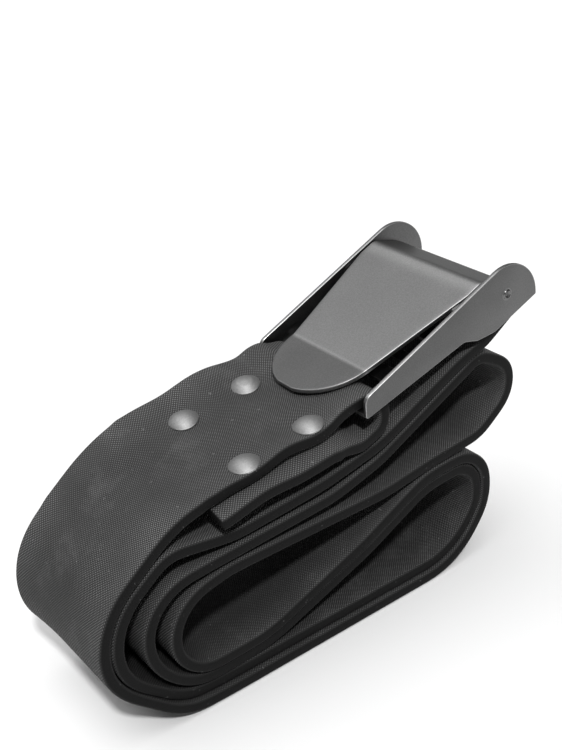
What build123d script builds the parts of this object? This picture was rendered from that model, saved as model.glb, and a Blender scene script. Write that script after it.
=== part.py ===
"""Dive weight belt: a rubber strap coiled on itself, with a steel lever buckle.

Millimetres, +Z up. X runs along the belt towards the buckle, Y across it.
The origin is the middle of the flat bottom run, the face the belt stands on.
Every side view below is drawn as (x, z) corners, each with its bend radius.
"""
import math
import os

from build123d import *

# ---- rubber strap ----
STRAP_WIDTH = 50.0
STRAP_THICK = 4.0
LAYER_GAP = 0.15          # left between layers that lie against each other
LAYER_PITCH = STRAP_THICK + LAYER_GAP
TAIL_SKEW = 4.0           # how far the end of the folded tail stands out sideways
SEAM_X = 27.8             # where the tail starts to bend round the buckle bar
SEAM_Z = 65.4             # the tail and the strap join level here, under the bar

# ---- sheet steel buckle ----
SHEET = 1.4
CHEEK_OUTER_Y = 27.8
CHEEK_INNER_Y = CHEEK_OUTER_Y - SHEET
BASE_START = (24.0, 73.3)
BASE_SLOPE = 15.2         # degrees, base plate against the ground
BASE_LENGTH = 41.4
SLOTS = [(4.35, 14.0, 25.6), (20.2, 23.7, 22.0), (27.9, 35.1, 22.0)]

# ---- lever and its pin ----
PIVOT_X = 82.2
PIVOT_Z = 94.2
PIN_RADIUS = 2.0
PIN_PLAY = 0.05
PIN_HEAD_RADIUS = 2.1
PIN_HEAD_THICK = 0.5
LEVER_SHEET = 1.5
LEVER_HALF_WIDTH = 25.8
LEVER_CREASE_HALF_WIDTH = 18.4
CURL_RADIUS = PIN_RADIUS + PIN_PLAY + LEVER_SHEET / 2

# ---- rivets through strap and tail ----
RIVET_X = (-14.9, 8.5)
RIVET_Y = (-20.0, 13.2)
CAP_RADIUS = 4.8
CAP_HEIGHT = 2.2
FOOT_THICK = 0.8
SHANK_RADIUS = 1.7
TOP_RUN_START = (-42.0, 66.3)
TOP_RUN_END = (15.5, 73.9)

# The strap, corner by corner, from the seam to its free end.
BAR_BEND = [(32.9, SEAM_Z, 5.1), (32.9, 80.2, 5.0), (*TOP_RUN_END, 14.0)]
OUTER_WRAP = [
    (*TOP_RUN_START, 35.0), (-70.9, 45.0, 29.0), (-70.9, 19.5, 24.0), (-52.0, 2.0, 25.0),
    (58.8, 2.0, 20.0), (74.3, 19.0, 12.0), (74.3, 41.2, 15.0), (48.0, 40.15, 30.0),
    (22.0, 28.0, 40.0), (-17.0, 14.45, 40.0),
]
INNER_TURN = [(-49.2, 14.45, 12.5), (-49.2, 41.0, 16.0), (-28.0, 44.3, 30.0), (32.0, 42.4, 50.0)]
MID_FOLD = [
    (52.0, 44.6, 30.0), (72.5, 46.0, 15.0), (85.7, 56.0, 11.3), (85.7, 67.4, 9.0),
    (73.0, 74.9, 6.0), (30.0, 55.4, 40.0), (11.0, 50.8, 40.0), (-34.0, 48.7, 30.0),
    (-57.3, 47.3, 18.0), (-57.3, 10.3, 19.0),
]
FREE_RUN = [
    (-46.3, 57.9, 12.0), (-24.0, 54.3, 30.0), (8.0, 56.6, 60.0), (30.0, 60.7, 40.0),
    (64.0, 76.2, 15.0), (75.0, 79.6, 12.0), (91.0, 89.4, 0.0),
]
TAIL = [(-29.8, 63.73, 0.0), (15.8, 69.76, 7.0), (22.0, SEAM_Z, 6.0), (SEAM_X, SEAM_Z, 0.0)]

# Side view of one cheek of the buckle, and of the lever sheet's middle line.
CHEEK = [
    (24.0, 73.3, 0.8), (24.1, 80.2, 2.6), (95.0, 110.15, 12.6), (95.0, 90.0, 0.7),
    (77.0, 83.0, 8.0), (69.5, 82.6, 4.0), (64.0, 84.2, 5.0),
]
LEVER_TIP = (14.4, 78.15)
LEVER_CREASE = (32.2, 82.6)
LEVER_REAR = (73.4, 99.8)
FLANGE = [
    (60.5, 93.9, 0.6), (73.4, 99.3, 1.0), (85.4, 95.6, 2.2), (85.4, 91.0, 2.8), (78.7, 91.0, 3.5),
]


def point(x, z):
    return Vector(x, 0, z)


def parallel(corners, distance):
    """Inner corners of a line drawn `distance` to the left of the given one."""
    moved = []
    for before, here, after in zip(corners, corners[1:], corners[2:]):
        first = (point(here[0], here[1]) - point(before[0], before[1])).normalized()
        second = (point(after[0], after[1]) - point(here[0], here[1])).normalized()
        left_1 = Vector(-first.Z, 0, first.X)
        left_2 = Vector(-second.Z, 0, second.X)
        shift = (left_1 + left_2) * (distance / (1 + left_1.dot(left_2)))
        turns_left = first.X * second.Z - first.Z * second.X > 0
        radius = here[2] - distance if turns_left else here[2] + distance
        moved.append((here[0] + shift.X, here[1] + shift.Z, radius))
    return moved


def bend(before, here, after):
    """Start, end and centre of the arc that rounds one corner."""
    corner = point(here[0], here[1])
    first = (corner - point(before[0], before[1])).normalized()
    second = (point(after[0], after[1]) - corner).normalized()
    turn = math.acos(max(-1.0, min(1.0, first.dot(second))))
    reach = here[2] * math.tan(turn / 2)
    inward = (second - first).normalized()
    centre = corner + inward * (here[2] / math.cos(turn / 2))
    return corner - first * reach, corner + second * reach, centre


def band_face(corners, thick):
    """Side view of a sheet of even thickness whose middle line has the given corners."""
    half = thick / 2
    sides = {1: [], -1: []}
    for side in (1, -1):
        last = None
        for i in range(len(corners)):
            if i == 0 or i == len(corners) - 1:
                near = corners[1] if i == 0 else corners[-2]
                here = point(corners[i][0], corners[i][1])
                along = (point(near[0], near[1]) - here).normalized() * (1 if i == 0 else -1)
                spot = here + Vector(-along.Z, 0, along.X) * (half * side)
                if last is not None:
                    sides[side].append(Edge.make_line(last, spot))
                last = spot
                continue
            start, end, centre = bend(corners[i - 1], corners[i], corners[i + 1])
            corner = point(corners[i][0], corners[i][1])
            first = (corner - start).normalized()
            second = (end - corner).normalized()
            turns_left = first.X * second.Z - first.Z * second.X > 0
            radius = corners[i][2] - half * side * (1 if turns_left else -1)
            a = centre + (start - centre).normalized() * radius
            b = centre + (end - centre).normalized() * radius
            middle = centre + (corner - centre).normalized() * radius
            if (a - last).length > 1e-4:
                sides[side].append(Edge.make_line(last, a))
            sides[side].append(Edge.make_three_point_arc(a, middle, b))
            last = b
    left = sides[1]
    right = sides[-1]
    caps = [
        Edge.make_line(right[0] @ 0, left[0] @ 0),
        Edge.make_line(right[-1] @ 1, left[-1] @ 1),
    ]
    return Face(Wire(left + right + caps))


def outline_face(corners):
    """Closed side view with rounded corners."""
    edges = []
    bends = [
        bend(corners[i - 1], corners[i], corners[(i + 1) % len(corners)])
        for i in range(len(corners))
    ]
    for i, (start, end, centre) in enumerate(bends):
        corner = point(corners[i][0], corners[i][1])
        middle = centre + (corner - centre).normalized() * corners[i][2]
        edges.append(Edge.make_three_point_arc(start, middle, end))
        following = bends[(i + 1) % len(bends)][0]
        edges.append(Edge.make_line(end, following))
    return Face(Wire(edges))


def across(face, y_from, y_to):
    """Solid made by pulling a side view across the belt."""
    return extrude(face.moved(Location((0, y_from, 0))), amount=y_to - y_from, dir=(0, 1, 0))


def rod(x, z, radius, y_from, y_to):
    middle = Location((x, (y_from + y_to) / 2, z), (90, 0, 0))
    return middle * Cylinder(radius, y_to - y_from)


def rivet_frame(x, y):
    """Plane on the strap's upper face at a rivet, its Z along the rivet."""
    slope = (TOP_RUN_END[1] - TOP_RUN_START[1]) / (TOP_RUN_END[0] - TOP_RUN_START[0])
    angle = math.atan(slope)
    along = Vector(math.cos(angle), 0, math.sin(angle))
    normal = Vector(-math.sin(angle), 0, math.cos(angle))
    centre_line = Vector(x, y, TOP_RUN_START[1] + (x - TOP_RUN_START[0]) * slope)
    return Plane(centre_line + normal * (STRAP_THICK / 2), x_dir=along, z_dir=normal)


def rivet_places():
    return [(x, y) for x in RIVET_X for y in RIVET_Y]


def stack_depth(plane):
    """Distance along the rivet from the strap's upper face to the tail's lower face."""
    slope = (TAIL[1][1] - TAIL[0][1]) / (TAIL[1][0] - TAIL[0][0])
    tail_mid = Vector(TAIL[0][0], 0, TAIL[0][1])
    normal = Vector(-slope, 0, 1).normalized()
    origin = Vector(plane.origin.X, 0, plane.origin.Z)
    return (origin - tail_mid).dot(normal) / plane.z_dir.dot(normal) + STRAP_THICK / 2


def make_strap():
    wrap = [*OUTER_WRAP, INNER_TURN[0]]
    second_strand = reversed(parallel(wrap, LAYER_PITCH))
    path = [(SEAM_X, SEAM_Z, 0.0), *BAR_BEND, *OUTER_WRAP, *INNER_TURN, *MID_FOLD]
    path += [*second_strand, *FREE_RUN]
    half = STRAP_WIDTH / 2
    coil = across(band_face(path, STRAP_THICK), -half, half)
    tail = across(band_face(TAIL, STRAP_THICK), -half - 10, half + 10)
    start = TAIL[0][0] - 5
    skew = TAIL_SKEW * (SEAM_X - start) / (SEAM_X - TAIL[0][0])
    plan = Polyline(
        (SEAM_X, -half), (start, -half - skew), (start, half - skew), (SEAM_X, half), close=True
    )
    tail &= extrude(make_face(plan), amount=100, dir=(0, 0, 1))
    strap = coil + tail
    for x, y in rivet_places():
        plane = rivet_frame(x, y)
        depth = stack_depth(plane) + 2
        strap -= plane.offset(-depth / 2) * Cylinder(SHANK_RADIUS, depth + 2)
    return strap


def make_frame():
    cheek = outline_face(CHEEK)
    frame = across(cheek, CHEEK_INNER_Y, CHEEK_OUTER_Y)
    frame += across(cheek, -CHEEK_OUTER_Y, -CHEEK_INNER_Y)
    angle = math.radians(BASE_SLOPE)
    along = Vector(math.cos(angle), 0, math.sin(angle))
    up = Vector(-math.sin(angle), 0, math.cos(angle))
    plane = Plane(point(*BASE_START), x_dir=along, z_dir=up)
    sheet = Rectangle(BASE_LENGTH, 2 * CHEEK_INNER_Y + SHEET, align=(Align.MIN, Align.CENTER))
    sheet = Pos(0.3, 0) * sheet
    for start, end, half_width in SLOTS:
        slot = RectangleRounded(end - start, 2 * half_width, 1.2)
        sheet -= Pos((start + end) / 2, 0) * slot
    frame += extrude(plane * sheet, amount=SHEET, dir=up)
    frame -= rod(PIVOT_X, PIVOT_Z, PIN_RADIUS, -CHEEK_OUTER_Y - 1, CHEEK_OUTER_Y + 1)
    return frame


def make_lever():
    slope_x = LEVER_REAR[0] - PIVOT_X
    slope_z = LEVER_REAR[1] - PIVOT_Z
    away = math.hypot(slope_x, slope_z)
    touch = math.atan2(slope_z, slope_x) - math.acos(CURL_RADIUS / away)
    touch_x = PIVOT_X + CURL_RADIUS * math.cos(touch)
    touch_z = PIVOT_Z + CURL_RADIUS * math.sin(touch)
    fall = (touch_z - LEVER_REAR[1]) / (touch_x - LEVER_REAR[0])
    back_x = PIVOT_X + CURL_RADIUS
    front_x = PIVOT_X - CURL_RADIUS
    under_z = PIVOT_Z - CURL_RADIUS
    path = [
        (*LEVER_TIP, 0.0), (*LEVER_CREASE, 4.0), (*LEVER_REAR, 2.4),
        (back_x, touch_z + fall * (back_x - touch_x), CURL_RADIUS),
        (back_x, under_z, CURL_RADIUS), (front_x, under_z, CURL_RADIUS),
        (front_x, PIVOT_Z + 0.6, 0.0),
    ]
    sheet = across(band_face(path, LEVER_SHEET), -LEVER_HALF_WIDTH, LEVER_HALF_WIDTH)
    crease_x = LEVER_CREASE[0]
    plan = Polyline(
        (crease_x, LEVER_CREASE_HALF_WIDTH), (68.0, LEVER_HALF_WIDTH), (95.0, LEVER_HALF_WIDTH),
        (95.0, -LEVER_HALF_WIDTH), (68.0, -LEVER_HALF_WIDTH), (crease_x, -LEVER_CREASE_HALF_WIDTH),
    )
    tongue = ThreePointArc(
        (crease_x, -LEVER_CREASE_HALF_WIDTH), (LEVER_TIP[0] - 0.2, 0),
        (crease_x, LEVER_CREASE_HALF_WIDTH),
    )
    lever = sheet & extrude(make_face([*plan.edges(), *tongue.edges()]), amount=130, dir=(0, 0, 1))
    flange = outline_face(FLANGE)
    inside = LEVER_HALF_WIDTH - LEVER_SHEET
    lever += across(flange, inside, LEVER_HALF_WIDTH)
    lever += across(flange, -LEVER_HALF_WIDTH, -inside)
    bore = rod(PIVOT_X, PIVOT_Z, PIN_RADIUS + PIN_PLAY, -LEVER_HALF_WIDTH - 1, LEVER_HALF_WIDTH + 1)
    return lever - bore


def make_pin():
    pin = rod(PIVOT_X, PIVOT_Z, PIN_RADIUS, -CHEEK_OUTER_Y, CHEEK_OUTER_Y)
    for side in (-1, 1):
        face = side * CHEEK_OUTER_Y
        end = side * (CHEEK_OUTER_Y + PIN_HEAD_THICK)
        low, high = min(face, end), max(face, end)
        pin += rod(PIVOT_X, PIVOT_Z, PIN_HEAD_RADIUS, low, high)
        pin -= Location((PIVOT_X, end, PIVOT_Z)) * Sphere(1.3)
    return pin


def make_rivet_cap(plane):
    ball = (CAP_RADIUS ** 2 + CAP_HEIGHT ** 2) / (2 * CAP_HEIGHT)
    dome = plane.offset(CAP_HEIGHT - ball) * Sphere(ball)
    return dome & (plane.offset(5) * Cylinder(CAP_RADIUS, 10))


def make_rivet_post(plane):
    depth = stack_depth(plane)
    shank = plane.offset(-depth / 2) * Cylinder(SHANK_RADIUS, depth)
    foot = plane.offset(-depth - FOOT_THICK / 2) * Cylinder(CAP_RADIUS, FOOT_THICK)
    return shank + foot


def build():
    parts = {
        "strap": make_strap(),
        "buckle_frame": make_frame(),
        "lever": make_lever(),
        "pivot_pin": make_pin(),
    }
    for number, (x, y) in enumerate(rivet_places(), start=1):
        plane = rivet_frame(x, y)
        parts[f"rivet_cap_{number}"] = make_rivet_cap(plane)
        parts[f"rivet_post_{number}"] = make_rivet_post(plane)
    return parts


os.makedirs("parts", exist_ok=True)
for name, shape in build().items():
    export_step(shape, f"parts/{name}.step")
    box = shape.bounding_box()
    print(f"{name}: {len(shape.solids())} solid, volume {shape.volume:.0f}, {box.size}")
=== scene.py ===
"""Looks of the dive weight belt: rubber strap, steel lever buckle, domed rivets.

Lengths are drawn in millimetres, in the CAD frame, and scaled to metres when a mesh is made.
Side views are (x, z) corners, each with its bend radius.
"""
import math

import bmesh
import bpy
import numpy as np
from mathutils import Matrix, Vector


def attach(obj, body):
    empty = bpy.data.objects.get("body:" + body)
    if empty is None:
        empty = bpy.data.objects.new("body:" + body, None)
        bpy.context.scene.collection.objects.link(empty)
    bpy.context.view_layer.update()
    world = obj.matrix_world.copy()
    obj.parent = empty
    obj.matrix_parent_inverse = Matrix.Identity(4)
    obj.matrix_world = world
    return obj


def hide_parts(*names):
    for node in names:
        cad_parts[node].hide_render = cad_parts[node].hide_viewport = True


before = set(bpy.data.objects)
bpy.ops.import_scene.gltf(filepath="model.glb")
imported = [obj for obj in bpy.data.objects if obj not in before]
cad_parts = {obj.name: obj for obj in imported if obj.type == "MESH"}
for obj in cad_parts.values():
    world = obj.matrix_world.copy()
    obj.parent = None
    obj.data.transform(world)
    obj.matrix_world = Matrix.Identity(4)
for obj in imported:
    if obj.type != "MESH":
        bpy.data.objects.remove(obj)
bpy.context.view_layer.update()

MM = 0.001

# ---- strap ----
STRAP_HALF_WIDTH = 25.0
STRAP_HALF_THICK = 1.9        # a little under the real 2.0, so that layers show a dark line
STRAP_EDGE = 0.85             # radius of the strap's worn long edges
STRAP_COLUMNS = 40
LAYER_PITCH = 4.15
ROW_STEP = 1.25
LINE_STEP = 0.25
STRAP_SOFTNESS = 1.6          # how far the rubber rounds off where a straight meets an arc
SHIFT_SOFTNESS = 6.0          # the same for its sideways wander
EMBOSS_PITCH = 0.95           # two rows of raised dots, set between each other

# Each corner: x, z, bend radius, sideways shift of the strap there.
TAIL = [(-29.8, 63.73, 0, -4.0), (15.8, 69.76, 7, -2.4), (22.0, 65.4, 6, -1.8)]
BAR_BEND = [(33.1, 65.4, 5.4, -1.2), (32.9, 80.2, 5, 0), (15.5, 73.9, 14, 0)]
OUTER_WRAP = [
    (-42.0, 66.3, 35, 0), (-70.9, 45.0, 29, 0), (-70.9, 19.5, 24, -0.3), (-52.0, 2.0, 25, -1.4),
    (58.8, 2.0, 29, -0.4), (74.3, 19.0, 17, 0.3), (74.3, 41.2, 13, 0), (48.0, 40.15, 30, 0),
    (22.0, 28.0, 40, 0), (-17.0, 14.45, 40, -0.6),
]
INNER_TURN = [
    (-49.2, 14.45, 12.5, -1.6), (-49.2, 41.0, 16, -1.7), (-28.0, 44.3, 30, -1.4), (32.0, 42.4, 50, 0),
]
MID_FOLD = [
    (52.0, 44.6, 30, 0.3), (72.5, 46.0, 15, 0.5), (85.7, 56.0, 11.3, 0.2), (85.7, 67.4, 9, -0.3),
    (73.0, 74.9, 6, -0.3), (30.0, 55.4, 40, -0.8), (11.0, 50.8, 40, -1), (-34.0, 48.7, 30, -1.1),
    (-57.3, 47.3, 18, -1.0), (-57.3, 10.3, 19, -0.8),
]
SECOND_SHIFTS = [0.1, -0.1, 0.2, 0.5, 0.4, 0.5, 0.6, 0.6, 0.5]
FREE_RUN = [
    (-46.3, 57.9, 12, -0.2), (-24.0, 54.3, 30, -0.6), (8.0, 56.6, 60, -0.9), (30.0, 60.7, 40, -0.9),
    (64.0, 76.2, 15, -0.9), (75.0, 79.6, 12, -0.9), (91.0, 89.4, 0, -0.9),
]
TOP_RUN_START = (-42.0, 66.3)
TOP_RUN_END = (15.5, 73.9)

# ---- buckle ----
SHEET = 1.4
CHEEK_MID_Y = 27.1
CHEEK_INNER_Y = 26.4
BASE_START = (24.0, 73.3)
BASE_SLOPE = math.radians(15.2)
BASE_LENGTH = 41.4
SLOTS = [(4.35, 14.0, 25.6), (20.2, 23.7, 22.0), (27.9, 35.1, 22.0)]
CHEEK = [
    (24.0, 73.3, 0.8), (24.1, 80.2, 3.6), (95.0, 110.15, 12.6), (95.0, 90.0, 0.7),
    (77.0, 83.0, 8), (69.5, 82.6, 4), (64.0, 84.2, 5),
]
PIVOT = (82.2, 94.2)
PIN_RADIUS = 2.0
PIN_HEAD_RADIUS = 2.05
PIN_END_Y = 28.3
CURL_RADIUS = 2.8
LEVER_HALF_THICK = 0.75
LEVER_HALF_WIDTH = 25.8
CREASE_HALF_WIDTH = 18.4
LEVER_TIP = (14.4, 78.15)
LEVER_CREASE = (32.2, 82.6)
LEVER_REAR = (73.4, 99.8)
TONGUE_RADIUS = 18.4
TAPER_END_X = 68.0
FLANGE = [
    (60.5, 93.9, 0.6), (73.4, 99.3, 1.0), (85.4, 95.6, 2.2), (85.4, 91.0, 2.8), (78.7, 91.0, 3.5),
]

# ---- rivets ----
RIVET_X = (-14.9, 8.5)
RIVET_Y = (-20.0, 13.2)
CAP_RADIUS = 4.8
CAP_HEIGHT = 2.1
CAP_SEAT = 2.0                # height of the rubber's face over the strap's middle line
SHANK_RADIUS = 1.7
FOOT_RADIUS = 4.8
STACK_DEPTH = 8.1             # strap, gap and tail together, along a rivet
FAR_LEAN = math.radians(6)    # the far rivets lean with the curled edge

# ---- waves of the strap's edges by the rivets and the buckle: height, x, width ----
FAR_WAVES = [(1.6, -3, 6), (2.8, 21, 4.5), (0.8, -27, 6)]
NEAR_WAVES = [(0.9, 19, 5), (-0.6, 9, 4), (0.5, -3, 6)]
TAIL_WAVES = [(0.9, 16, 3), (0.9, -29, 7), (0.6, -3, 6)]

# ---- camera ----
CAMERA_PLACE = (-0.16755, -0.28241, 0.26063)
CAMERA_RIGHT = (0.8069, -0.5819, -0.1016)
CAMERA_AHEAD = (0.4769, 0.7432, -0.4693)
CAMERA_LENS = 59.63


# ------------------------------------------------------------------ outlines
def corner_arc(before, here, after):
    """Start, centre and turn of the arc that rounds a corner."""
    a, b, c = (np.array(p[:2], float) for p in (before, here, after))
    first = (b - a) / np.linalg.norm(b - a)
    second = (c - b) / np.linalg.norm(c - b)
    turn = math.atan2(first[0] * second[1] - first[1] * second[0], first @ second)
    reach = here[2] * math.tan(abs(turn) / 2)
    left = np.array([-first[1], first[0]]) * math.copysign(1, turn)
    start = b - first * reach
    return start, start + left * here[2], turn


def arc_points(start, centre, turn, count):
    """Points from start round the centre, both ends included."""
    offset = start - centre
    angles = np.linspace(0, turn, count)
    c, s = np.cos(angles), np.sin(angles)
    x = centre[0] + c * offset[0] - s * offset[1]
    z = centre[1] + s * offset[0] + c * offset[1]
    return np.stack([x, z], 1)


def open_line(corners, step=0.4):
    """Points along an open line with rounded corners, and each point's corner number."""
    points = [np.array(corners[0][:2], float)]
    marks = [0.0]
    for i in range(1, len(corners) - 1):
        start, centre, turn = corner_arc(corners[i - 1], corners[i], corners[i + 1])
        count = max(3, int(abs(turn) * corners[i][2] / step))
        points.extend(arc_points(start, centre, turn, count))
        marks.extend(i + np.linspace(-0.2, 0.2, count))
    points.append(np.array(corners[-1][:2], float))
    marks.append(len(corners) - 1.0)
    return np.array(points), np.array(marks)


def closed_line(corners, turn_step=math.radians(5)):
    """Points round a closed outline with rounded corners."""
    points = []
    for i, here in enumerate(corners):
        start, centre, turn = corner_arc(corners[i - 1], here, corners[(i + 1) % len(corners)])
        count = max(3, int(abs(turn) / turn_step))
        points.extend(arc_points(start, centre, turn, count))
    return np.array(points)


def parallel(corners, distance, shifts):
    """Inner corners of a line drawn `distance` to the left of the given one."""
    moved = []
    for before, here, after, shift in zip(corners, corners[1:], corners[2:], shifts):
        a, b, c = (np.array(p[:2], float) for p in (before, here, after))
        first = (b - a) / np.linalg.norm(b - a)
        second = (c - b) / np.linalg.norm(c - b)
        left_1 = np.array([-first[1], first[0]])
        left_2 = np.array([-second[1], second[0]])
        away = (left_1 + left_2) * distance / (1 + left_1 @ left_2)
        turns_left = first[0] * second[1] - first[1] * second[0] > 0
        radius = here[2] - distance if turns_left else here[2] + distance
        moved.append((b[0] + away[0], b[1] + away[1], radius, shift))
    return moved


class Line:
    """A line in the side view that can be read by the length along it."""

    def __init__(self, corners, soften=0.0):
        points, marks = open_line(corners)
        keep = np.r_[True, np.linalg.norm(np.diff(points, axis=0), axis=1) > 1e-6]
        points, marks = points[keep], marks[keep]
        length = np.r_[0, np.cumsum(np.linalg.norm(np.diff(points, axis=0), axis=1))]
        fine = np.arange(0, length[-1], LINE_STEP)
        self.s = fine
        self.x = np.interp(fine, length, points[:, 0])
        self.z = np.interp(fine, length, points[:, 1])
        self.mark = np.interp(fine, length, marks)
        if soften:
            self.x = smoothed(self.x, soften / LINE_STEP)
            self.z = smoothed(self.z, soften / LINE_STEP)
        shifts = [c[3] if len(c) > 3 else 0 for c in corners]
        self.shift = np.interp(self.mark, range(len(corners)), shifts)
        if soften:
            self.shift = smoothed(self.shift, SHIFT_SOFTNESS / LINE_STEP)
        self.length = fine[-1]
        along_x, along_z = np.gradient(self.x), np.gradient(self.z)
        size = np.hypot(along_x, along_z)
        self.tx, self.tz = along_x / size, along_z / size

    def at(self, s, height):
        """Side view position at a length along the line and a height to its left."""
        inside = np.clip(s, 0, self.length)
        tx, tz = np.interp(inside, self.s, self.tx), np.interp(inside, self.s, self.tz)
        x = np.interp(inside, self.s, self.x) + (s - inside) * tx - tz * height
        z = np.interp(inside, self.s, self.z) + (s - inside) * tz + tx * height
        return x, z

    def read(self, values, s):
        """One of the line's own values, such as x, at a length along it."""
        return np.interp(s, self.s, values)

    def start_of(self, mark):
        """Length along the line at which a corner number is reached."""
        return float(self.s[np.argmin(np.abs(self.mark - mark))])


def smoothed(values, width):
    """Gaussian smoothing that keeps both ends where they are."""
    reach = int(width * 3)
    bell = np.exp(-0.5 * (np.arange(-reach, reach + 1) / width) ** 2)
    head = 2 * values[0] - values[reach:0:-1]
    tail = 2 * values[-1] - values[-2:-reach - 2:-1]
    return np.convolve(np.r_[head, values, tail], bell / bell.sum(), "valid")


# -------------------------------------------------------------------- meshes
def make_object(name, vertices, faces, body, slot, replaced, sharp=None):
    """Object from vertices in millimetres, handed to the frame with its body and slot."""
    mesh = bpy.data.meshes.new(name)
    mesh.from_pydata((np.asarray(vertices) * MM).tolist(), [], faces)
    mesh.validate()
    tidy_faces(mesh)
    obj = bpy.data.objects.new(name, mesh)
    bpy.context.scene.collection.objects.link(obj)
    finish_piece(obj, body, slot, replaced, sharp)
    return obj


def finish_piece(obj, body, slot, replaced, sharp=None):
    """Shading, material, body, slot and replaced node of one piece."""
    obj.data.polygons.foreach_set("use_smooth", [True] * len(obj.data.polygons))
    if sharp:
        obj.data.set_sharp_from_angle(angle=math.radians(sharp))
    obj.data.materials.append(materials[slot])
    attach(obj, body)
    if replaced:
        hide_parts(*replaced)


def bent_sheet(line, rows, widths, columns, half, edge, push=None):
    """Vertices, faces, surface coordinates and face mask of a sheet that follows a line.

    rows are lengths along the line and widths the half width at each row. The rim is rounded.
    """
    n, m = len(rows), columns + 1
    share = np.linspace(-1, 1, m)
    grid_s = np.repeat(rows, m)
    grid_y = (np.asarray(widths)[:, None] * share).ravel()
    index = np.arange(n * m).reshape(n, m)
    loop = np.concatenate([index[0], index[1:, -1], index[-1, -2::-1], index[-2:0:-1, 0]])
    ls, ly = grid_s[loop], grid_y[loop]
    ds = np.roll(ls, -1) - np.roll(ls, 1)
    dy = np.roll(ly, -1) - np.roll(ly, 1)
    size = np.maximum(np.hypot(ds, dy), 1e-9)
    out_s, out_y = -dy / size, ds / size
    flat = half - edge
    parts = [(grid_s, grid_y, np.full(n * m, half), np.ones(n * m))]
    angles = np.radians([67, 45, 22, 0])
    profile = [(math.cos(a) * edge, math.sin(a) * edge + flat) for a in angles]
    profile += [(out, -height) for out, height in reversed(profile)]
    for out, height in profile:
        # The rubber reads this share for its dots and for the painted shade of the rim bands.
        above = (abs(height) - flat) / edge
        parts.append((ls + out_s * out, ly + out_y * out, np.full(len(loop), height),
                      np.full(len(loop), above ** 2)))
    parts.append((grid_s, grid_y, np.full(n * m, -half), np.ones(n * m)))
    s, y, h, mask = (np.concatenate(column) for column in zip(*parts))
    lift = push(s, y) if push else 0
    x, z = line.at(s, h + lift)
    vertices = np.stack([x, y + line.read(line.shift, s), z], 1)
    quads = np.stack([index[:-1, :-1], index[1:, :-1], index[1:, 1:], index[:-1, 1:]], -1)
    top = quads.reshape(-1, 4)
    last = n * m + len(profile) * len(loop)
    faces = [top[:, ::-1], top + last]
    rings = [loop] + [n * m + k * len(loop) + np.arange(len(loop)) for k in range(len(profile))]
    rings.append(loop + last)
    for one, two in zip(rings, rings[1:]):
        faces.append(np.stack([one, np.roll(one, -1), np.roll(two, -1), two], 1))
    return vertices, np.concatenate(faces).tolist(), np.stack([s, y], 1), mask


def add_surface(obj, coordinates, mask):
    """Stores length and width as a UV map, and the embossed share as an attribute."""
    layer = obj.data.uv_layers.new(name="along_across")
    corners = np.zeros(len(obj.data.loops), int)
    obj.data.loops.foreach_get("vertex_index", corners)
    layer.data.foreach_set("uv", coordinates[corners].astype(np.float32).ravel())
    attribute = obj.data.attributes.new("emboss", "FLOAT", "POINT")
    attribute.data.foreach_set("value", mask.astype(np.float32))


def add_finish_and_painted_light(mesh, values):
    """Stores how light the steel is painted at each vertex, painted highlights and shade included."""
    attribute = mesh.attributes.new("finish_and_painted_light", "FLOAT", "POINT")
    attribute.data.foreach_set("value", np.asarray(values, np.float32))


def plate(name, outline, thick, place, body, slot, replaced=(), holes=(), edge=0.28,
          finish_and_painted_light=(1.0, 3.2)):
    """Flat sheet with rounded edges. `place` takes its plan, in millimetres, to the frame.

    The last argument says how light its faces and its rim are.
    """
    curve = bpy.data.curves.new(name, "CURVE")
    curve.dimensions = "2D"
    curve.fill_mode = "BOTH"
    for points in [outline, *holes]:
        spline = curve.splines.new("POLY")
        spline.points.add(len(points) - 1)
        flat = [v for x, y in points for v in (x, y, 0, 1)]
        spline.points.foreach_set("co", flat)
        spline.use_cyclic_u = True
    curve.extrude = thick / 2 - edge
    curve.bevel_depth = edge
    curve.bevel_resolution = 2
    curve.offset = -edge
    holder = bpy.data.objects.new(name + "_curve", curve)
    bpy.context.scene.collection.objects.link(holder)
    shaped = holder.evaluated_get(bpy.context.evaluated_depsgraph_get())
    mesh = bpy.data.meshes.new_from_object(shaped)
    bpy.data.objects.remove(holder)
    mesh.name = name
    heights = np.array([vertex.co.z for vertex in mesh.vertices])
    add_finish_and_painted_light(mesh, np.where(np.abs(heights) < thick / 2 - 0.01, finish_and_painted_light[1], finish_and_painted_light[0]))
    mesh.transform(Matrix.Scale(MM, 4) @ place)
    tidy_faces(mesh, weld=True)
    obj = bpy.data.objects.new(name, mesh)
    bpy.context.scene.collection.objects.link(obj)
    finish_piece(obj, body, slot, replaced, sharp=24)


def tidy_faces(mesh, weld=False):
    """Turns every face outward, and first joins vertices that lie on each other."""
    work = bmesh.new()
    work.from_mesh(mesh)
    if weld:
        bmesh.ops.remove_doubles(work, verts=work.verts, dist=1e-6)
    bmesh.ops.recalc_face_normals(work, faces=work.faces)
    work.to_mesh(mesh)
    work.free()


def upright(y):
    """Plan x, y go to the frame's x, z, at one place across the belt."""
    return Matrix(((1, 0, 0, 0), (0, 0, -1, y), (0, 1, 0, 0), (0, 0, 0, 1)))


def lathe(name, profile, place, body, slot, replaced, count=72, wobble=0.0):
    """Turned solid: profile is (radius, height) from the axis to the axis.

    wobble is the share by which its rim is out of round.
    """
    vertices, faces = [], []
    for i, (radius, height) in enumerate(profile):
        for k in range(count):
            a = 2 * math.pi * k / count
            r = radius * (1 + wobble * math.sin(3 * a + 1.1) * (radius / profile[-2][0]))
            vertices.append(place @ Vector((r * math.cos(a), r * math.sin(a), height)))
        if i:
            for k in range(count):
                one, two = (i - 1) * count + k, (i - 1) * count + (k + 1) % count
                faces.append((one, two, two + count, one + count))
    obj = make_object(name, vertices, faces, body, slot, replaced)
    tidy_faces(obj.data, weld=True)
    obj.data.set_sharp_from_angle(angle=math.radians(50))


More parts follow.
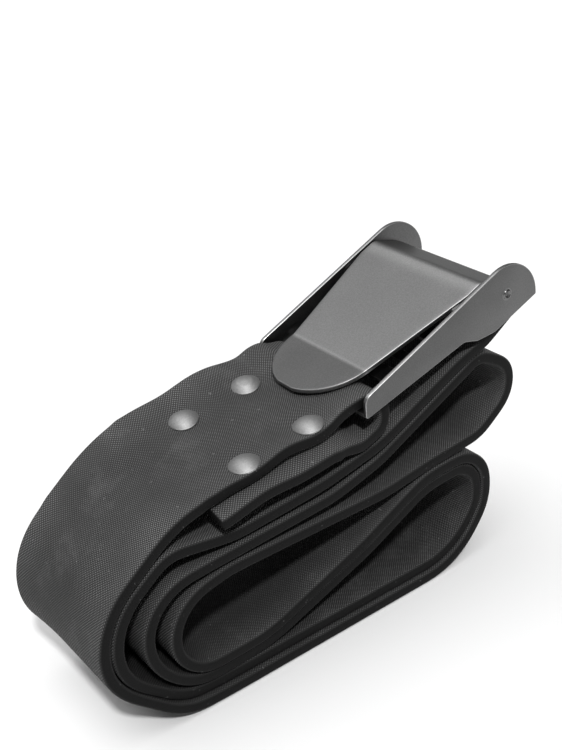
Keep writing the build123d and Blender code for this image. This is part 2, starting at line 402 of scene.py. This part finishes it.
# ----------------------------------------------------------------- materials
def material(name):
    """A new material, its node tree and its shader."""
    made = bpy.data.materials.new(name)
    made.use_nodes = True
    tree = made.node_tree
    return made, tree, tree.nodes["Principled BSDF"]


def node(tree, kind, inputs=None, **settings):
    """A new node. A socket among the inputs is linked, and any other value is set."""
    made = tree.nodes.new(kind)
    for key, value in settings.items():
        setattr(made, key, value)
    for key, value in (inputs or {}).items():
        if isinstance(value, bpy.types.NodeSocket):
            tree.links.new(value, made.inputs[key])
        else:
            made.inputs[key].default_value = value
    return made


def math_node(tree, operation, a, b=0.0):
    return node(tree, "ShaderNodeMath", {0: a, 1: b}, operation=operation).outputs[0]


def spread(tree, value, low, high):
    """Maps a 0 to 1 value to the range low to high."""
    return node(tree, "ShaderNodeMapRange", {"Value": value, 3: low, 4: high}).outputs[0]


def ramp(tree, value, start, end, low, high):
    """Maps start to end of a value to the range low to high, and holds it beyond them."""
    inputs = {"Value": value, 1: start, 2: end, 3: low, 4: high}
    return node(tree, "ShaderNodeMapRange", inputs).outputs[0]


def noise(tree, place, scale, detail=4.0, rough=0.55):
    inputs = {"Vector": place, "Scale": scale, "Detail": detail, "Roughness": rough}
    return node(tree, "ShaderNodeTexNoise", inputs).outputs["Fac"]


def grey(tree, value):
    return node(tree, "ShaderNodeCombineColor", {0: value, 1: value, 2: value}).outputs[0]


def rubber():
    """Black rubber with rows of fine raised dots, worn and dusted unevenly, with painted highlight on
    the dots and painted shade on its rim bands and low faces.
    """
    made, tree, shader = material("embossed_rubber")
    place = node(tree, "ShaderNodeTexCoord").outputs["Object"]
    uv = node(tree, "ShaderNodeUVMap", uv_map="along_across").outputs[0]
    split = node(tree, "ShaderNodeSeparateXYZ", {0: uv})
    mask = node(tree, "ShaderNodeAttribute", attribute_name="emboss").outputs["Fac"]
    turn = 2 * math.pi / EMBOSS_PITCH
    along = math_node(tree, "SINE", math_node(tree, "MULTIPLY", split.outputs[0], turn))
    across = math_node(tree, "SINE", math_node(tree, "MULTIPLY", split.outputs[1], turn))
    dots = math_node(tree, "MULTIPLY", along, across)
    dots = math_node(tree, "MULTIPLY", dots, mask)
    patches = ramp(tree, noise(tree, place, 32.0, 3.0), 0.36, 0.62, 0.42, 1.0)
    dots = math_node(tree, "MULTIPLY", dots, patches)
    side = math_node(tree, "ABSOLUTE", split.outputs[1])
    worn = ramp(tree, side, 13.0, 24.0, 1.0, 1.25)
    dust = ramp(tree, noise(tree, place, 60.0, 8.0, 0.75), 0.54, 0.72, 0.0, 0.030)
    cloud = noise(tree, place, 45.0, 5.0)
    grain = noise(tree, place, 1800.0, 3.0)
    # Painted shade: where the emboss share is low, on the rim bands, the rubber is painted much darker
    # than on its faces.
    rim = spread(tree, mask, 0.13, 1.0)
    base = math_node(tree, "MULTIPLY", spread(tree, cloud, 0.046, 0.080), rim)
    base = math_node(tree, "MULTIPLY", base, worn)
    # Painted shade: the faces are painted darker the nearer they are to the ground,
    # most of all under the left bend.
    spot = node(tree, "ShaderNodeSeparateXYZ", {0: place})
    low = ramp(tree, spot.outputs[2], 0.0, 0.060, 0.5, 0.0)
    bend = ramp(tree, spot.outputs[0], -0.070, -0.045, 1.0, 0.0)
    under = ramp(tree, spot.outputs[2], 0.010, 0.052, 0.36, 0.0)
    painted_shade = math_node(tree, "MULTIPLY", bend, under)
    painted_shade = math_node(tree, "MULTIPLY", math_node(tree, "ADD", painted_shade, low), mask)
    base = math_node(tree, "MULTIPLY", base, math_node(tree, "SUBTRACT", 1.0, painted_shade))
    # Painted highlight and shade: the raised dots are painted lighter and the hollows between them
    # darker, on top of their bump.
    shade = math_node(tree, "MULTIPLY", base, spread(tree, dots, 0.56, 3.6))
    specks = ramp(tree, noise(tree, place, 620.0, 2.0, 0.5), 0.72, 0.79, 0.0, 0.10)
    dust = math_node(tree, "MULTIPLY", dust, mask)
    light = math_node(tree, "ADD", math_node(tree, "ADD", shade, dust), specks)
    tree.links.new(grey(tree, light), shader.inputs["Base Color"])
    tree.links.new(spread(tree, cloud, 0.50, 0.68), shader.inputs["Roughness"])
    shader.inputs["Specular IOR Level"].default_value = 0.10
    height = math_node(tree, "ADD", math_node(tree, "MULTIPLY", dots, 0.5),
                       math_node(tree, "MULTIPLY", grain, 0.3))
    bump = node(tree, "ShaderNodeBump", {"Strength": 1.0, "Distance": 0.0003, "Height": height})
    tree.links.new(bump.outputs[0], shader.inputs["Normal"])
    return made


def steel(name, tone, rough, mottle, zoned=False):
    """Satin steel. A zoned one is lighter or darker by a per-vertex attribute of its mesh, which holds
    painted highlights and shade as well as lighter rims.

    mottle is the share by which its tone drifts from place to place.
    """
    made, tree, shader = material(name)
    place = node(tree, "ShaderNodeTexCoord").outputs["Object"]
    cloud = noise(tree, place, 38.0, 6.0, 0.6)
    grain = noise(tree, place, 2300.0, 2.0)
    tint = spread(tree, cloud, tone * (1 - mottle), tone * (1 + mottle))
    fleck = spread(tree, grain, 0.70, 1.30)
    tint = math_node(tree, "MULTIPLY", tint, fleck)
    if zoned:
        finish_and_painted_light = node(tree, "ShaderNodeAttribute", attribute_name="finish_and_painted_light").outputs["Fac"]
        tint = math_node(tree, "MULTIPLY", tint, finish_and_painted_light)
    tree.links.new(grey(tree, tint), shader.inputs["Base Color"])
    shader.inputs["Metallic"].default_value = 1.0
    tree.links.new(spread(tree, cloud, rough - 0.05, rough + 0.06), shader.inputs["Roughness"])
    bump = node(tree, "ShaderNodeBump", {"Strength": 0.16, "Distance": 0.00005, "Height": grain})
    tree.links.new(bump.outputs[0], shader.inputs["Normal"])
    return made


materials = {
    "strap": rubber(),
    "buckle_frame": steel("satin_steel_frame", 0.122, 0.36, 0.40, zoned=True),
    "lever": steel("satin_steel_lever", 0.32, 0.42, 0.10, zoned=True),
    "pivot_pin": steel("turned_steel_pin", 0.17, 0.30, 0.15),
    "rivet_cap": steel("bright_steel_cap", 0.37, 0.62, 0.16),
    "rivet_post": steel("bright_steel_post", 0.45, 0.45, 0.08),
}


# --------------------------------------------------------------------- strap
def bell(distance, width):
    """Smooth hump, 1 at no distance."""
    return np.exp(-0.5 * (distance / width) ** 2)


def ease(value):
    """Smooth step from 0 to 1."""
    value = np.clip(value, 0, 1)
    return value * value * (3 - 2 * value)


def waves(x, humps):
    """Sum of humps, each a height, a place and a width."""
    return sum(height * bell(x - place, width) for height, place, width in humps)


def edge_curl(x, y):
    """How far the top run stands up: a little all over, and more towards its far edge."""
    share = np.clip((y - 3) / 22, 0, 1)
    return ease((28 - x) / 26) * (0.4 + 4.4 * share * share)


def build_strap():
    """The whole strap, from the end of the folded tail to the free end, as one sheet."""
    wrap = [*OUTER_WRAP, INNER_TURN[0]]
    second = parallel(wrap, LAYER_PITCH, SECOND_SHIFTS)[::-1]
    corners = [*TAIL, *BAR_BEND, *OUTER_WRAP, *INNER_TURN, *MID_FOLD, *second, *FREE_RUN]
    line = Line(corners, soften=STRAP_SOFTNESS)
    bar = len(TAIL) + 1
    rows = np.linspace(0.7, line.length - 0.7, int(line.length / ROW_STEP))
    bend_start, bend_end = line.start_of(bar + 2.9), line.start_of(bar + 5.0)

    def push(s, y):
        """Lift of the strap to its left; the top run's upper face is on its right."""
        x = line.read(line.x, s)
        mark = line.read(line.mark, s)
        top = ease((mark - bar - 0.1) * 4) * (1 - ease((mark - bar - 2.6) * 4))
        outer = ease((mark - bar - 0.1) * 4) * (1 - ease((s - bend_start) / (bend_end - bend_start)))
        outer *= 1 - 0.42 * ease((-26 - x) / 24)
        tail = 1 - ease((mark - 1.0) * 3)
        slung = 1 - ease((mark - 1.8) / 1.2)
        dent = np.zeros_like(x)
        for rivet_x in RIVET_X:
            for rivet_y in RIVET_Y:
                away = np.hypot(x - rivet_x, y - rivet_y)
                dent += 0.55 * bell(away, 4.4) - 0.42 * bell(away - 10.5, 3.2)
        far = ease((y - 8) / 17)
        near = ease((-y - 13) / 12)
        rim = ease((-y - 17) / 9)
        edges = far * (0.5 + waves(x, FAR_WAVES)) + near * waves(x, NEAR_WAVES)
        crease = 0.3 * bell(x + 31, 1.3)
        lift = top * (dent - edges - crease)
        droop = 1.3 + 2.6 * ease((x + 16) / 26) - 2.1 * ease((x - 14) / 8) + waves(x, TAIL_WAVES)
        curl = edge_curl(x, y)
        return lift - outer * curl + tail * curl - slung * rim * droop

    widths = np.full(len(rows), STRAP_HALF_WIDTH - STRAP_EDGE)
    vertices, faces, coordinates, mask = bent_sheet(
        line, rows, widths, STRAP_COLUMNS, STRAP_HALF_THICK, STRAP_EDGE, push)
    # The lower left bend is slack, and stands in from a true round.
    slack = 2.4 * bell(np.hypot(vertices[:, 0] + 68, vertices[:, 2] - 4), 15)
    vertices[:, 0] += slack
    vertices[:, 2] += slack
    obj = make_object("strap_rubber", vertices, faces, "belt", "strap", ["strap"])
    add_surface(obj, coordinates, mask)


# -------------------------------------------------------------------- buckle
def build_lever():
    """The lever's sheet, rolled round the pin at its rear, and its two side flanges."""
    slope = (LEVER_REAR[0] - PIVOT[0], LEVER_REAR[1] - PIVOT[1])
    touch = math.atan2(slope[1], slope[0]) - math.acos(CURL_RADIUS / math.hypot(*slope))
    touch_x = PIVOT[0] + CURL_RADIUS * math.cos(touch)
    touch_z = PIVOT[1] + CURL_RADIUS * math.sin(touch)
    fall = (touch_z - LEVER_REAR[1]) / (touch_x - LEVER_REAR[0])
    back, front = PIVOT[0] + CURL_RADIUS, PIVOT[0] - CURL_RADIUS
    under = PIVOT[1] - CURL_RADIUS
    radius = CURL_RADIUS - 0.02
    corners = [
        LEVER_TIP, (*LEVER_CREASE, 0.9), (*LEVER_REAR, 2.4),
        (back, touch_z + fall * (back - touch_x), radius),
        (back, under, radius), (front, under, radius), (front, PIVOT[1] + 0.6),
    ]
    line = Line(corners)
    edge = 0.32
    centre = TONGUE_RADIUS + LEVER_TIP[0] - 0.2
    tip = np.linspace(0.08, 1, 26) ** 2
    crease = line.start_of(1)
    rows = np.r_[edge + 0.05 + tip * (crease - edge), np.arange(crease + 0.5, line.length - edge, 0.5)]
    x = line.read(line.x, rows)
    tongue = np.sqrt(np.maximum((TONGUE_RADIUS - edge) ** 2 - (x - centre) ** 2, 0.01))
    share = (x - LEVER_CREASE[0]) / (TAPER_END_X - LEVER_CREASE[0])
    side = CREASE_HALF_WIDTH + (LEVER_HALF_WIDTH - CREASE_HALF_WIDTH) * np.clip(share, 0, 1) - edge
    widths = np.where(x < LEVER_CREASE[0] - 0.1, np.minimum(tongue, side), side)
    vertices, faces, coordinates, _ = bent_sheet(line, rows, widths, 36, LEVER_HALF_THICK, edge)
    sheet = make_object("lever_sheet", vertices, faces, "lever", "lever", ["lever"], sharp=30)
    along = coordinates[:, 0]
    bend = line.start_of(2)
    # Painted light: the tongue is painted darker, as a dark reflection; a painted highlight runs along
    # the ridge before the rear bend and a thin one along the crease; the roll is painted dark, as a
    # dark reflection, with a painted highlight on its bend.
    finish_and_painted_light = np.where(along < crease, 0.86, 0.97) + 0.42 * bell(along - bend + 2.2, 1.9)
    finish_and_painted_light += 0.45 * bell(along - crease, 0.3)
    finish_and_painted_light = np.where(along > bend, 0.76 + 0.35 * bell(along - bend, 0.8), finish_and_painted_light)
    add_finish_and_painted_light(sheet.data, finish_and_painted_light)
    for name, side in (("near", -1), ("far", 1)):
        middle = side * (LEVER_HALF_WIDTH - LEVER_HALF_THICK)
        plate(f"lever_flange_{name}", closed_line(FLANGE), 2 * LEVER_HALF_THICK, upright(middle),
              "lever", "lever", finish_and_painted_light=(0.8, 1.1))


def build_frame():
    """The buckle's two cheeks and the slotted base plate between them."""
    for name, side, replaced in (("near", -1, ["buckle_frame"]), ("far", 1, [])):
        plate(f"cheek_{name}", closed_line(CHEEK), SHEET, upright(side * CHEEK_MID_Y),
              "belt", "buckle_frame", replaced)
    end = BASE_LENGTH + 0.3
    half = CHEEK_INNER_Y + SHEET / 2
    outline = closed_line([(0.3, -half, 1.0), (end, -half, 1.0), (end, half, 1.0), (0.3, half, 1.0)])
    holes = [
        closed_line([(a, -w, 1.2), (b, -w, 1.2), (b, w, 1.2), (a, w, 1.2)]) for a, b, w in SLOTS
    ]
    along = Vector((math.cos(BASE_SLOPE), 0, math.sin(BASE_SLOPE)))
    up = Vector((-math.sin(BASE_SLOPE), 0, math.cos(BASE_SLOPE)))
    middle = Vector((BASE_START[0], 0, BASE_START[1])) + up * SHEET / 2
    place = Matrix.Translation(middle) @ Matrix((along, (0, 1, 0), up)).transposed().to_4x4()
    plate("base_plate", outline, SHEET, place, "belt", "buckle_frame", holes=holes)


def build_pin():
    """Pin with a low head at each end, closed over the cheek and dimpled."""
    head = [(0, -0.6), (0.6, -0.55), (0.95, -0.15), (1.2, 0), (1.45, -0.1), (1.6, -0.42)]
    head += [(PIN_HEAD_RADIUS, -0.46), (PIN_HEAD_RADIUS, -0.5), (PIN_RADIUS, -0.5)]
    top = [(r, PIN_END_Y + h) for r, h in head]
    profile = top + [(r, -h) for r, h in reversed(top)]
    place = Matrix.Translation((PIVOT[0], 0, PIVOT[1])) @ Matrix.Rotation(math.radians(-90), 4, "X")
    lathe("pivot_pin_turned", profile, place, "belt", "pivot_pin", ["pivot_pin"], count=40)


def build_rivets():
    """Four domed caps on the top run, and their posts with a foot under the folded tail."""
    slope = math.atan2(TOP_RUN_END[1] - TOP_RUN_START[1], TOP_RUN_END[0] - TOP_RUN_START[0])
    ball = (CAP_RADIUS ** 2 + CAP_HEIGHT ** 2) / (2 * CAP_HEIGHT)
    for number, (x, y) in enumerate(((x, y) for x in RIVET_X for y in RIVET_Y), start=1):
        z = TOP_RUN_START[1] + (x - TOP_RUN_START[0]) * math.tan(slope)
        z += float(edge_curl(x, y))
        lean = FAR_LEAN if y > 0 else 0
        place = Matrix.Translation((x, y, z)) @ Matrix.Rotation(-slope, 4, "Y")
        place = place @ Matrix.Rotation(lean, 4, "X") @ Matrix.Translation((0, 0, CAP_SEAT))
        profile = []
        for r in np.linspace(0, CAP_RADIUS - 0.25, 18):
            height = math.sqrt(ball ** 2 - r ** 2) - ball + CAP_HEIGHT
            # The setting tool has left a faint ring on the last cap.
            ring = 0.10 * math.exp(-((r - 2.6) / 0.5) ** 2) if number == 4 else 0
            profile.append((r, height + ring))
        profile += [(CAP_RADIUS, 0.05), (CAP_RADIUS, -0.35), (CAP_RADIUS - 0.3, -0.6), (0, -0.6)]
        lathe(f"rivet_cap_domed_{number}", profile, place, "belt", "rivet_cap",
              [f"rivet_cap_{number}"], wobble=0.012)
        foot = -STACK_DEPTH
        post = [
            (0, -0.7), (SHANK_RADIUS, -0.7), (SHANK_RADIUS, foot + 0.1),
            (FOOT_RADIUS - 0.2, foot + 0.1), (FOOT_RADIUS, foot - 0.2), (FOOT_RADIUS, foot - 0.6),
            (FOOT_RADIUS - 0.3, foot - 0.8), (SHANK_RADIUS - 0.3, foot - 0.8),
            (SHANK_RADIUS - 0.6, foot - 0.5), (0, foot - 0.5),
        ]
        lathe(f"rivet_post_turned_{number}", post, place, "belt", "rivet_post",
              [f"rivet_post_{number}"], count=48)


# --------------------------------------------------------------------- stage
def build_stage():
    """Pale floor, dim white surroundings and three soft lights."""
    mesh = bpy.data.meshes.new("floor")
    reach, z = 3.0, -0.0002
    corners = [(-reach, -reach, z), (reach, -reach, z), (reach, reach, z), (-reach, reach, z)]
    mesh.from_pydata(corners, [], [(0, 1, 2, 3)])
    floor = bpy.data.objects.new("floor", mesh)
    bpy.context.scene.collection.objects.link(floor)
    made, _, shader = material("pale_floor")
    shader.inputs["Base Color"].default_value = (0.93, 0.93, 0.93, 1)
    shader.inputs["Roughness"].default_value = 0.9
    mesh.materials.append(made)

    world = bpy.data.worlds.new("studio")
    world.use_nodes = True
    world.node_tree.nodes["Background"].inputs[0].default_value = (1, 1, 1, 1)
    world.node_tree.nodes["Background"].inputs[1].default_value = 0.15
    bpy.context.scene.world = world
    sun_light("key", azimuth=-22, elevation=52, softness=5, strength=2.0)
    sun_light("overhead", azimuth=-90, elevation=80, softness=60, strength=1.5)
    sun_light("back", azimuth=203, elevation=47, softness=40, strength=0.36)


def sun_light(name, azimuth, elevation, softness, strength):
    """Light from one side. Azimuth 0 comes from the front, -Y, and positive turns towards +X."""
    data = bpy.data.lights.new(name, "SUN")
    data.energy = strength
    data.angle = math.radians(softness)
    light = bpy.data.objects.new(name, data)
    a, e = math.radians(azimuth), math.radians(elevation)
    towards = Vector((math.sin(a) * math.cos(e), -math.cos(a) * math.cos(e), math.sin(e)))
    light.rotation_euler = (-towards).to_track_quat("-Z", "Y").to_euler()
    bpy.context.scene.collection.objects.link(light)


def build_camera():
    """The camera looks down on the near side and the left bend."""
    data = bpy.data.cameras.new("camera")
    data.sensor_width = 36
    data.lens = CAMERA_LENS
    data.clip_start = 0.01
    camera = bpy.data.objects.new("camera", data)
    right = Vector(CAMERA_RIGHT).normalized()
    ahead = Vector(CAMERA_AHEAD).normalized()
    turned = Matrix((right, right.cross(ahead), -ahead)).transposed().to_4x4()
    camera.matrix_world = Matrix.Translation(CAMERA_PLACE) @ turned
    bpy.context.scene.collection.objects.link(camera)
    bpy.context.scene.camera = camera


build_strap()
build_lever()
build_frame()
build_pin()
build_rivets()
build_stage()
build_camera()
bpy.context.scene.view_settings.view_transform = "Standard"
